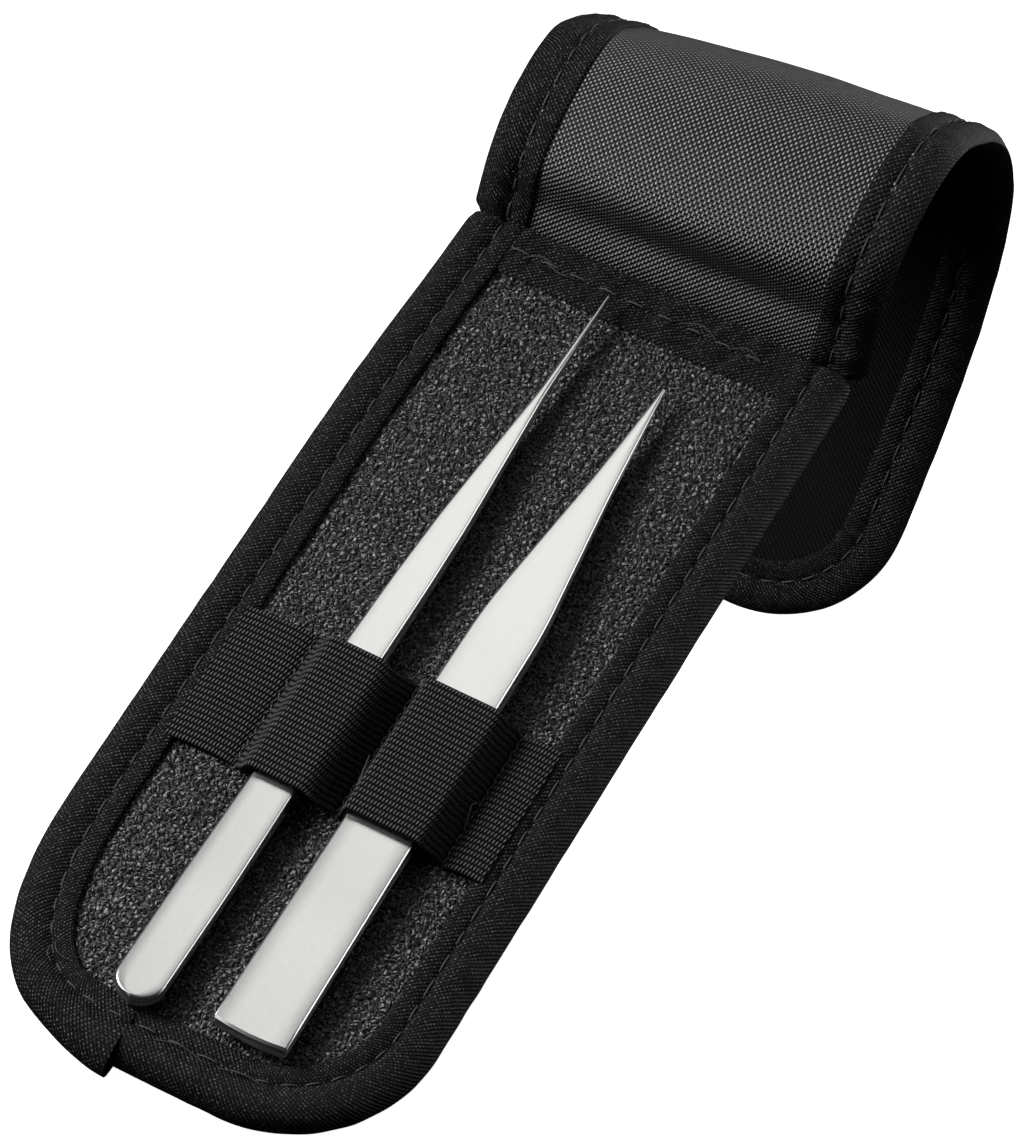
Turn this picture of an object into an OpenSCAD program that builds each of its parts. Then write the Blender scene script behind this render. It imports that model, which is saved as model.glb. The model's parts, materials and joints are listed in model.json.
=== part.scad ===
// A pair of precision tweezers in a soft folding pouch.
//
// Local frame: x runs across the pouch, y from its near end to its fold, z up from the
// lining. Angles of the flap are measured in the y-z plane, from +y towards +z.
// The whole set then leans on its curled flap, with its lowest edges at z = 0.

/* [Pouch base] */
// Width of the pouch over its binding
pouch_w = 63.4; // [60:0.2:70]
// Length of the base from the near end to the fold
base_len = 154.2; // [152:0.2:158]
// Corner radius at the near end, and at the flap's free end
corner_r = 22; // [16:1:26]
// Thickness of the pebbled lining
lining_t = 0.8; // [0.6:0.1:1]
// Thickness of the foam pad under the lining
foam_t = 2.0; // [1:0.1:3]
// Thickness of the stiffener board
board_t = 1.0; // [0.6:0.1:1.4]
// Thickness of the outer nylon
nylon_t = 0.8; // [0.6:0.1:1]

/* [Binding tape] */
// Width of the tape's leg on each face
tape_w = 8.5; // [7:0.5:10]
// Thickness of the tape
tape_t = 0.7; // [0.5:0.1:0.8]
// Width of the hem across the fold end
hem_w = 8.6; // [8:0.2:11]

/* [Flap] */
// Lengths of the flap's rigid stretches, from the fold to the free end
seg_len = [12, 10, 12, 18, 24, 30, 32, 42];
// Direction of each stretch while the pouch stands open
open_dir = [80, 53, 11, -29, -55, -78, -109, -126];
// Direction of each stretch while the flap covers the tweezers
shut_dir = [110, 155, 180, 184.5, 184.5, 184.5, 184.5, 184.5];

/* [Elastic strap] */
// Distance from the near end to the strap's lower edge
strap_from = 49.4; // [48:0.2:52]
// Width of the strap, as a standard one inch tape
strap_w = 25.2; // [24:0.2:26]
// Thickness of the strap
strap_t = 0.9; // [0.7:0.1:1]

/* [Fine tweezers] */
// Overall length of the fine tweezers
fine_len = 140; // [136:1:142]
// Width of their rounded rear end
fine_w = 7.2; // [6.5:0.1:7.4]
// Sideways lean of the fine tweezers, in degrees
fine_lean = 1.0; // [0:0.1:1.5]

/* [Broad tweezers] */
// Overall length of the broad tweezers
broad_len = 126; // [122:1:130]
// Width of their square rear end
broad_w = 11.2; // [10.5:0.1:11.4]

/* [Hidden] */
$fn = 96;
clear = 0.05;
layer_eps = 0.01;

half_w = pouch_w / 2;
near_y = -10.4;
fold_y = near_y + base_len;
foam_z = -lining_t;
board_z = foam_z - foam_t;
nylon_z = board_z - board_t;
rim_z = nylon_z - nylon_t;
under_z = rim_z - tape_t;

// the fold line, a little beyond and above the base's end
fold_pt = [fold_y + 1.7, 0.5];
bead_r = 0.5;
seg_n = len(seg_len);
last = seg_n - 1;
flap_nylon_t = 0.9;
flap_lining_t = 0.8;
// half thicknesses of the flap over its binding, on the lining side and the nylon side
flap_top = flap_lining_t + tape_t;
flap_under = flap_nylon_t + tape_t;

function heading(a) = [cos(a), sin(a)];
function seg_start(i) = i == 0 ? fold_pt : seg_start(i - 1) + seg_len[i - 1] * heading(open_dir[i - 1]);
function open_bend(i) = open_dir[i] - open_dir[i - 1];
function shut_bend(i) = shut_dir[i] - shut_dir[i - 1];
// cut angles that leave room for a bend towards the lining and towards the nylon
function cut_lining(i) = i == 0 ? 30 : i > last ? 0 : max(shut_bend(i), 0) / 2 + 1;
function cut_nylon(i) = i == 0 || i > last ? 1 : max(-open_bend(i), 0) / 2 + 1;

// the two edges that the open pouch stands on, and the lean that brings both to the floor
near_edge = [near_y, under_z];
flap_edge = seg_start(seg_n) + flap_top * heading(open_dir[last] + 90);
lean = atan((near_edge[1] - flap_edge[1]) / (flap_edge[0] - near_edge[0]));
floor_z = near_edge[0] * sin(lean) + near_edge[1] * cos(lean);
function leaned_y(p) = p[0] * cos(lean) - p[1] * sin(lean);
tail_reach = 2.2;
tail_drop = 0.4;
least_y = leaned_y([near_y - tail_reach, -tail_drop]);
most_y = max([for (i = [0 : seg_n - 1]) for (p = [
    leaned_y(seg_start(i) + flap_top * heading(open_dir[i] + 90)
        + flap_top * tan(cut_lining(i)) * heading(open_dir[i])),
    leaned_y(seg_start(i + 1) + flap_top * heading(open_dir[i] + 90)
        - flap_top * tan(cut_lining(i + 1)) * heading(open_dir[i]))]) p]);
mid_y = (least_y + most_y) / 2;

// strap stations across the pouch
strap_y = near_y + strap_from;
tack_w = 0.8;
tack_x = [-13.9, 2.2, 18.6];
tack_top = 1.5;

// tweezers: the height of the plane between the arms, and the arms' thicknesses
mid_z = 2.5;
fine_x = -7.4;
fine_y = -3.0;
broad_x = 9.4;
heel_t = 1.2;
belly_t = 1.95;
tip_t = 0.45;
weld_gap = 0.06;
weld_r = 1.2;

nylon_black = [0.05, 0.05, 0.055];
tape_black = [0.07, 0.07, 0.075];
lining_grey = [0.16, 0.16, 0.17];
pebble_black = [0.09, 0.09, 0.09];
elastic_black = [0.04, 0.04, 0.045];
board_grey = [0.45, 0.43, 0.4];
foam_grey = [0.3, 0.3, 0.32];
steel = [0.8, 0.8, 0.78];

// from the local frame to the standing pose, with the origin under the middle
module stand() {
    translate([0, -mid_y, -floor_z]) rotate([lean, 0, 0]) children();
}

// an upright slab from z = low to z = high over a flat outline
module slab(low, high) {
    translate([0, 0, low]) linear_extrude(high - low) children();
}

// a bar across the pouch whose side view is given in (y, z)
module across(width) {
    rotate([90, 0, 90]) linear_extrude(width, center = true) children();
}

// flat outline of the base, rounded at its near end
module base_plan(inset = 0) {
    translate([-half_w + inset, near_y + corner_r])
        square([pouch_w - 2 * inset, base_len - corner_r]);
    translate([-half_w + corner_r, near_y + inset])
        square([pouch_w - 2 * corner_r, corner_r - inset + 1]);
    for (side = [-1, 1])
        translate([side * (half_w - corner_r), near_y + corner_r])
            circle(corner_r - inset);
}

module base_shell() {
    lip = 1.15;
    color(nylon_black) stand() {
        slab(rim_z, nylon_z) base_plan(tape_t + clear);
        slab(under_z, rim_z + layer_eps) base_plan(tape_w + clear);
        translate([-half_w + tape_t + clear, fold_y, under_z])
            cube([pouch_w - 2 * tape_t - 2 * clear, lip, fold_pt[1] - under_z - 0.2]);
        translate([0, fold_pt[0], fold_pt[1]]) rotate([0, 90, 0])
            cylinder(r = bead_r, h = pouch_w - 2 * tape_w, center = true);
        translate([-half_w + tape_w, fold_y + lip - layer_eps, fold_pt[1] - bead_r])
            cube([pouch_w - 2 * tape_w, bead_r, bead_r * 0.8]);
    }
}

module base_stiffener() {
    color(board_grey) stand() slab(nylon_z, board_z) base_plan(tape_t + 1.5);
}

module base_foam() {
    color(foam_grey) stand() slab(board_z, foam_z) base_plan(tape_t + clear);
}

module base_lining() {
    color(pebble_black) stand() slab(foam_z, 0) base_plan(tape_w + clear);
}

// U-shaped tape round the left edge, the near end and the right edge
module base_binding() {
    color(tape_black) stand() difference() {
        slab(under_z, 0) base_plan(0);
        slab(rim_z, foam_z) translate([0, layer_eps]) base_plan(tape_t);
        slab(under_z - 1, 1) translate([0, layer_eps]) base_plan(tape_w);
    }
}

// the pointed end of the tape, which stands proud of the near edge
module binding_tail() {
    tail_from = -17.5;
    tip_x = -5.8;
    tail_to = -4.4;
    color(tape_black) stand() slab(rim_z, -tail_drop)
        polygon([[tail_from, near_y - clear / 5], [tip_x, near_y - tail_reach],
            [tail_to, near_y - clear / 5]]);
}

module top_hem() {
    hem_top = 0.3;
    color(tape_black) stand() slab(layer_eps, hem_top)
        translate([-half_w + tape_w + clear, fold_y - hem_w])
            square([pouch_w - 2 * tape_w - 2 * clear, hem_w]);
}

// a flat stretch of strap between two x stations
module strap_flat(from_x, to_x) {
    color(elastic_black) stand() slab(layer_eps, strap_t)
        translate([from_x, strap_y]) square([to_x - from_x, strap_w]);
}

module strap_left_end() {
    strap_flat(-half_w + tape_w + clear, tack_x[0] - tack_w / 2 - clear);
}

module strap_right_end() {
    strap_flat(tack_x[2] + tack_w / 2 + clear, half_w - tape_w - clear);
}

// thread bars that tack the strap to the base beside and between the loops
module strap_tacks() {
    color(tape_black) stand() for (x = tack_x)
        slab(layer_eps, tack_top)
            translate([x - tack_w / 2, strap_y + 1]) square([tack_w, strap_w - 2]);
}

// a raised loop of strap, from foot to foot over a pair of tweezers
module strap_loop(foot_from, top_from, top_to, foot_to) {
    rise = mid_z + belly_t + 0.1;
    foot = 1.2;
    color(elastic_black) stand() translate([0, strap_y + strap_w, 0]) rotate([90, 0, 0])
        linear_extrude(strap_w)
            polygon([[foot_from, layer_eps], [foot_from + foot, layer_eps],
                [top_from + strap_t / 2, rise], [top_to - strap_t / 2, rise],
                [foot_to - foot, layer_eps], [foot_to, layer_eps], [foot_to, strap_t],
                [top_to, rise + strap_t * 0.7], [top_to - strap_t, rise + strap_t],
                [top_from + strap_t, rise + strap_t], [top_from, rise + strap_t * 0.7],
                [foot_from, strap_t]]);
}

module fine_loop() {
    strap_loop(tack_x[0] + tack_w / 2 + clear, -11.2, -1.6, tack_x[1] - tack_w / 2 - clear);
}

module broad_loop() {
    strap_loop(tack_x[1] + tack_w / 2 + clear, 3.2, 15.9, tack_x[2] - tack_w / 2 - clear);
}

// side view of one arm above the plane between the arms: flat heel, bowed belly, fine tip
module arm_side(length) {
    polygon([[0, weld_gap], [12, weld_gap], [30, 0.45], [50, 0.7], [75, 0.65],
        [length - 8, 0.05], [length, 0.02], [length, tip_t], [length - 25, 1.25],
        [75, belly_t - 0.05], [50, belly_t], [22, heel_t + 0.05], [0, heel_t]]);
}

// one arm: its plan outline, as deep as its side view
module arm(length, width, upper) {
    translate([0, 0, mid_z]) mirror([0, 0, upper ? 0 : 1]) intersection() {
        across(2 * width) arm_side(length);
        slab(-1, 2 * belly_t) children();
    }
}

// plan outline of the fine tweezers: round heel, long slender taper
module fine_plan() {
    r = fine_w / 2;
    translate([0, r]) circle(r);
    polygon([[-r, r], [-r, 20], [-2.7, 80], [-2.3, 92], [-0.6, 120], [-0.25, fine_len],
        [0.25, fine_len], [0.6, 120], [2.3, 92], [2.7, 80], [r, 20], [r, r]]);
}

// plan outline of the broad tweezers: square heel, shoulders, straight taper
module broad_plan() {
    r = broad_w / 2;
    polygon([[-r, 0], [-5.35, 20], [-4.75, 76], [-4.45, 81], [-1.85, 106], [-0.3, broad_len],
        [0.3, broad_len], [1.85, 106], [4.45, 81], [4.75, 76], [5.35, 20], [r, 0]]);
}

module at_fine() {
    stand() translate([fine_x, fine_y, 0]) rotate([0, 0, -fine_lean]) children();
}

module at_broad() {
    stand() translate([broad_x, 0, 0]) children();
}

// two spot welds in the narrow gap between the heels
module welds() {
    color(steel) for (y = [4.5, 8.5])
        translate([0, y, mid_z]) cylinder(r = weld_r, h = 2 * weld_gap - layer_eps, center = true);
}

module fine_lower_arm() {
    color(steel) at_fine() arm(fine_len, fine_w, false) fine_plan();
}

module fine_upper_arm() {
    color(steel) at_fine() arm(fine_len, fine_w, true) fine_plan();
}

module fine_welds() {
    at_fine() welds();
}

module broad_lower_arm() {
    color(steel) at_broad() arm(broad_len, broad_w, false) broad_plan();
}

module broad_upper_arm() {
    color(steel) at_broad() arm(broad_len, broad_w, true) broad_plan();
}

module broad_welds() {
    at_broad() welds();
}

// places a stretch of the flap: y along it, z towards its lining
module at_seg(i) {
    p = seg_start(i);
    stand() translate([0, p[0], p[1]]) rotate([open_dir[i], 0, 0]) children();
}

// side view of a stretch, with its ends cut back so that it can bend both ways
module seg_side(i, top, under, start_gap, end_gap) {
    far = seg_len[i];
    polygon([[start_gap, 0],
        [start_gap + top * tan(cut_lining(i)), top],
        [far - end_gap - top * tan(cut_lining(i + 1)), top],
        [far - end_gap, 0],
        [far - end_gap - under * tan(cut_nylon(i + 1)), -under],
        [start_gap + under * tan(cut_nylon(i)), -under]]);
}

// plan of a stretch: a plain band, or for the last one a round-cornered end
module seg_plan(i, inset) {
    far = seg_len[i];
    r = min(corner_r, far - 4);
    translate([-half_w + inset, -1]) square([pouch_w - 2 * inset, far + (i < last ? 2 : 1 - r)]);
    if (i == last) {
        translate([-half_w + r, far - r - 1]) square([pouch_w - 2 * r, r + 1 - inset]);
        for (side = [-1, 1])
            translate([side * (half_w - r), far - r]) circle(r - inset);
    }
}

// the nylon of one stretch, with a round bead on the line it folds about
module flap_shell(i) {
    end_gap = i == last ? 0 : bead_r + 0.12;
    color(nylon_black) at_seg(i) {
        intersection() {
            across(pouch_w + 2) seg_side(i, layer_eps, flap_nylon_t,
                i == 0 ? bead_r + 0.12 : clear, end_gap);
            slab(-flap_nylon_t, 0) seg_plan(i, tape_t + clear);
        }
        if (i > 0) rotate([0, 90, 0])
            cylinder(r = bead_r, h = pouch_w - 2 * tape_t - 0.6, center = true);
    }
}

module flap_lining(i) {
    end_gap = i == last ? 0 : bead_r + 0.12;
    color(lining_grey) at_seg(i) intersection() {
        across(pouch_w + 2) seg_side(i, flap_lining_t, layer_eps, bead_r + 0.12, end_gap);
        slab(layer_eps, flap_lining_t) seg_plan(i, tape_t + clear);
    }
}

// the tape along both edges of one stretch, and round the end of the last one
module flap_binding(i) {
    color(tape_black) at_seg(i) difference() {
        intersection() {
            across(pouch_w + 2) seg_side(i, flap_top, flap_under, i == 0 ? 1 : 0.1,
                i == last ? 0 : 0.1);
            slab(-flap_under, flap_top) seg_plan(i, 0);
        }
        slab(-flap_nylon_t - layer_eps, flap_lining_t + layer_eps)
            translate([0, -layer_eps]) seg_plan(i, tape_t);
        slab(-flap_under - 1, flap_top + 1) translate([0, -layer_eps]) seg_plan(i, tape_w);
    }
}

base_shell();
base_stiffener();
base_foam();
base_lining();
base_binding();
binding_tail();
top_hem();
strap_left_end();
strap_right_end();
strap_tacks();
fine_loop();
broad_loop();
fine_lower_arm();
fine_upper_arm();
fine_welds();
broad_lower_arm();
broad_upper_arm();
broad_welds();
flap_shell(0);  // flap_shell_1
flap_shell(1);  // flap_shell_2
flap_shell(2);  // flap_shell_3
flap_shell(3);  // flap_shell_4
flap_shell(4);  // flap_shell_5
flap_shell(5);  // flap_shell_6
flap_shell(6);  // flap_shell_7
flap_shell(7);  // flap_shell_8
flap_lining(0);  // flap_lining_1
flap_lining(1);  // flap_lining_2
flap_lining(2);  // flap_lining_3
flap_lining(3);  // flap_lining_4
flap_lining(4);  // flap_lining_5
flap_lining(5);  // flap_lining_6
flap_lining(6);  // flap_lining_7
flap_lining(7);  // flap_lining_8
flap_binding(0);  // flap_binding_1
flap_binding(1);  // flap_binding_2
flap_binding(2);  // flap_binding_3
flap_binding(3);  // flap_binding_4
flap_binding(4);  // flap_binding_5
flap_binding(5);  // flap_binding_6
flap_binding(6);  // flap_binding_7
flap_binding(7);  // flap_binding_8
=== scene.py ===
"""Precision tweezers in a folding nylon pouch: the visual model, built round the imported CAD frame.

Shapes are laid out in the pouch's own frame, in millimetres: x across the base to the right, y along it from
the near end to the fold, z up out of the lining. to_world() carries them into the row frame.
"""
import json
import math

import bpy
import numpy as np
from mathutils import Matrix, Vector


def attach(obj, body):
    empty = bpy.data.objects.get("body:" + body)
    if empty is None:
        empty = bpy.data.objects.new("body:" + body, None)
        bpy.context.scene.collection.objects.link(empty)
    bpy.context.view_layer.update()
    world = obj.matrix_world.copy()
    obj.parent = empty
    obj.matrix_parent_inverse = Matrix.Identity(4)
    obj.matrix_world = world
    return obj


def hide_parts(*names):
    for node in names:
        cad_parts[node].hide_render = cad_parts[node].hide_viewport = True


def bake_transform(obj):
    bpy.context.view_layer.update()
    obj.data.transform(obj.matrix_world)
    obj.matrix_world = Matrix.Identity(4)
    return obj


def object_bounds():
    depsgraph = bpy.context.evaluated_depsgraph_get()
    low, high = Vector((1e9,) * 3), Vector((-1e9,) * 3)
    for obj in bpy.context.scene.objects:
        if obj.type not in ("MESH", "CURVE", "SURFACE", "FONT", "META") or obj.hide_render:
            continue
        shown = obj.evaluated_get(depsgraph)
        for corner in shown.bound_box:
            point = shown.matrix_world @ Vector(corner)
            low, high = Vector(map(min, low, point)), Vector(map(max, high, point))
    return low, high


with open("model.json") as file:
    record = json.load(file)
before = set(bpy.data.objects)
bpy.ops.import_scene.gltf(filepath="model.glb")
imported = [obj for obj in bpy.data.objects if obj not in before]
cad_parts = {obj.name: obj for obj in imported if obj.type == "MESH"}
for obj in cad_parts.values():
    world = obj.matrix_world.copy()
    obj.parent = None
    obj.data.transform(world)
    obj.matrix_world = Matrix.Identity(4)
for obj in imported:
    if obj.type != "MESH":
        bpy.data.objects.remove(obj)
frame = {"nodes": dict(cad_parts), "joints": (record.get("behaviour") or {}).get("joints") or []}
CAD_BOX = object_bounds()
JOINTS = {j["name"]: j for j in frame["joints"]}
MM = 0.001

# ---------------------------------------------------------------- driving dimensions, in millimetres
MID_Z = 2.5  # plane between the tweezers' arms
BROAD_X = 9.4
FINE_X, FINE_Y = -7.4, -3.0
FINE_LEAN = math.radians(1.0)
FINE_LEN, BROAD_LEN = 140.0, 126.0

HALF_W = 31.7
NEAR_Y = -9.8
FOLD_Y = 143.8
TAPE_W = 8.5
UNDER_Z = -5.3
HEM_Y = 135.2

STRAP_Y = (39.0, 64.2)
STRAP_T = 0.9
TACK_X = (-13.9, 2.2, 18.6)
FINE_FEET = (-13.45, 1.75)
BROAD_FEET = (2.65, 18.15)

LAST_DIR = math.radians(-126)  # way that the flap's free end points, and its length
LAST_LEN = 40.2
FLAP_N = 0.9  # half thickness of the flap's two cloths
FLAP_CORNER_R = 21.0
STITCH_D = 5.55  # stitch line, in from the edge
STITCH_PITCH = 4.7
STITCH_LEN = 3.1
STITCH_R = 0.14

# ---------------------------------------------------------------- the pouch's own frame
EX = np.array([1.0, 0.0, 0.0])
EY = -np.array(JOINTS["broad_slide"]["axis"], float)
EZ = np.array(JOINTS["broad_loop_stretch"]["axis"], float)
ORIGIN = np.array(JOINTS["broad_spring"]["pos_m"], float) - MM * (BROAD_X * EX + MID_Z * EZ)


def turn_world(vectors):
    v = np.asarray(vectors, float)
    return v[..., 0:1] * EX + v[..., 1:2] * EY + v[..., 2:3] * EZ


def to_world(points):
    return ORIGIN + MM * turn_world(points)


def to_local(point):
    d = (np.array(point, float) - ORIGIN) / MM
    return np.array([d @ EX, d @ EY, d @ EZ])


# ---------------------------------------------------------------- small helpers
def smooth(a, b, x):
    """0 before a, 1 after b, and a smooth step between."""
    t = np.clip((np.asarray(x, float) - a) / (b - a), 0, 1)
    return t * t * (3 - 2 * t)


def hump(x, middle, width):
    """A smooth bump of height 1 about middle."""
    return np.exp(-(((x - middle) / width) ** 2))


def wobble(t, pitch, seed):
    """Smooth random wave along t, from -1 to 1, with about one bump per pitch."""
    t = np.asarray(t, float) / pitch
    values = np.random.RandomState(seed).uniform(-1, 1, 4096)
    i = np.floor(t).astype(int)
    f = t - i
    f = f * f * (3 - 2 * f)
    return values[i % 4096] * (1 - f) + values[(i + 1) % 4096] * f


def blobs(x, y, cell, seed):
    """Distances to the nearest and second nearest of a grid of scattered points, in cells."""
    u, v = np.asarray(x, float) / cell, np.asarray(y, float) / cell
    i, j = np.floor(u).astype(int), np.floor(v).astype(int)
    scatter = np.random.RandomState(seed).uniform(0.1, 0.9, (256, 256, 2))
    near, second = np.full(u.shape, 9.0), np.full(u.shape, 9.0)
    for di in (-1, 0, 1):
        for dj in (-1, 0, 1):
            at = scatter[(i + di) % 256, (j + dj) % 256]
            d = np.hypot(i + di + at[..., 0] - u, j + dj + at[..., 1] - v)
            second = np.minimum(second, np.maximum(near, d))
            near = np.minimum(near, d)
    return near, second


def unit(vectors):
    return vectors / np.maximum(np.linalg.norm(vectors, axis=-1, keepdims=True), 1e-9)


def heading(path):
    """Unit directions along a path of points."""
    return unit(np.gradient(path, axis=0))


def arc_length(path):
    """Distance along a path at each of its points."""
    return np.concatenate([[0], np.cumsum(np.linalg.norm(np.diff(path, axis=0), axis=1))])


def between(left, right, count):
    """Rows of count points from left to right."""
    return left[:, None] + (right - left)[:, None] * np.linspace(0, 1, count)[None, :]


def grid(*parts):
    """Coordinates of any matching shapes as one array of points."""
    return np.stack(np.broadcast_arrays(*parts), -1)


def grid_normals(p):
    """Unit normals of a grid of points, along d/di x d/dj."""
    return unit(np.cross(np.gradient(p, axis=0), np.gradient(p, axis=1)))


def make_object(name, points, faces, uv, corners_uv, mat, normals=None):
    """A mesh object in the row frame. faces and corners_uv are lists of vertex and uv indexes."""
    mesh = bpy.data.meshes.new(name)
    mesh.from_pydata(to_world(points).tolist(), [], faces)
    layer = mesh.uv_layers.new(name="UVMap")
    flat = np.array([k for face in corners_uv for k in face])
    layer.data.foreach_set("uv", np.asarray(uv, float)[flat].astype(np.float32).ravel())
    mesh.polygons.foreach_set("use_smooth", [True] * len(mesh.polygons))
    mesh.materials.append(mat)
    mesh.update()
    if normals is not None:
        mesh.normals_split_custom_set_from_vertices(turn_world(normals).tolist())
    obj = bpy.data.objects.new(name, mesh)
    bpy.context.scene.collection.objects.link(obj)
    return obj


def sharpen(obj, degrees):
    """Hard shading across edges steeper than this."""
    obj.data.set_sharp_from_angle(angle=math.radians(degrees))
    return obj


def slab(name, top, bottom, uv, mat, normals=None):
    """A closed thin solid between two grids of points. normals, if given, are those of the two grids."""
    n, m = top.shape[:2]
    facing = np.einsum("ijk,ijk->ij", grid_normals(top), top - bottom).mean()
    corners = [i * m + j for i in range(n - 1) for j in range(m - 1)]
    top_faces = [[a, a + m, a + m + 1, a + 1] for a in corners]
    k = n * m
    border = [(i, 0) for i in range(n)] + [(n - 1, j) for j in range(1, m)]
    border += [(i, m - 1) for i in range(n - 2, -1, -1)] + [(0, j) for j in range(m - 2, 0, -1)]
    ring = [i * m + j for i, j in border]
    rim = [[a + k, b + k, b, a] for a, b in zip(ring, ring[1:] + ring[:1])]
    faces = top_faces + [[v + k for v in face[::-1]] for face in top_faces] + rim
    if facing <= 0:
        faces = [face[::-1] for face in faces]
    points = np.concatenate([top.reshape(-1, 3), bottom.reshape(-1, 3)])
    both_uv = np.concatenate([uv.reshape(-1, 2)] * 2)
    if normals is None:
        return sharpen(make_object(name, points, faces, both_uv, faces, mat), 60)
    return make_object(name, points, faces, both_uv, faces, mat, np.concatenate(normals).reshape(-1, 3))


def tube_faces(n, m):
    """Faces of n rings of m points, closed at both ends, and their corners in a uv grid one column wider."""
    faces, corners = [], []
    for found, width in ((faces, m), (corners, m + 1)):
        for i in range(n - 1):
            for j in range(m):
                a, b = i * width + j, i * width + (j + 1) % width
                found.append([a, a + width, b + width, b])
        found += [list(range(m)), [(n - 1) * width + j for j in range(m - 1, -1, -1)]]
    return faces, corners


def turned(faces):
    """The same faces with the opposite side out."""
    return [face[:1] + face[:0:-1] for face in faces]


def swept(name, rings, uv, mat):
    """A closed tube through rings of points. uv has one more column than rings, for the seam."""
    faces, corners = tube_faces(*rings.shape[:2])
    points = rings.reshape(-1, 3)
    # a rough signed volume, from four corners of each face: it misjudges the flap tapes 0 to 2, whose faces
    # stay turned inwards
    a, b, c, d = (points[[face[k] for face in faces]] for k in (0, 1, 2, -1))
    volume = np.einsum("ij,ij->", a, np.cross(b, c) + np.cross(c, d))
    if volume < 0:
        faces = [f[::-1] for f in faces]
        corners = [c[::-1] for c in corners]
    return make_object(name, points, faces, uv.reshape(-1, 2), corners, mat)


def tube_rings(path, radius, sides):
    """Round rings about a path of points, small at both ends."""
    path = np.asarray(path, float)
    along = heading(path)
    side = unit(np.cross(along, [0.13, 0.21, 0.97]))
    up = np.cross(side, along)
    size = np.full(len(path), radius)
    size[0] = size[-1] = radius * 0.35
    a = np.linspace(0, 2 * math.pi, sides, endpoint=False)[None, :, None]
    return path[:, None] + size[:, None, None] * (np.cos(a) * side[:, None] + np.sin(a) * up[:, None])


def threads(name, paths, radius, sides=6):
    """Many short threads as one object. Their faces are turned inwards."""
    points, faces, uv, corners = [], [], [], []
    base = uv_base = 0
    around = np.arange(sides + 1) * (2 * math.pi * radius / sides)
    for path in paths:
        rings = tube_rings(path, radius, sides)
        one, one_corners = tube_faces(len(path), sides)
        faces += [[base + v for v in face] for face in turned(one)]
        corners += [[uv_base + v for v in face] for face in turned(one_corners)]
        points.append(rings.reshape(-1, 3))
        uv.append(grid(arc_length(path)[:, None], around[None]).reshape(-1, 2))
        base += len(path) * sides
        uv_base += len(path) * (sides + 1)
    return make_object(name, np.concatenate(points), faces, np.concatenate(uv), corners, MAT["thread"])


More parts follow.
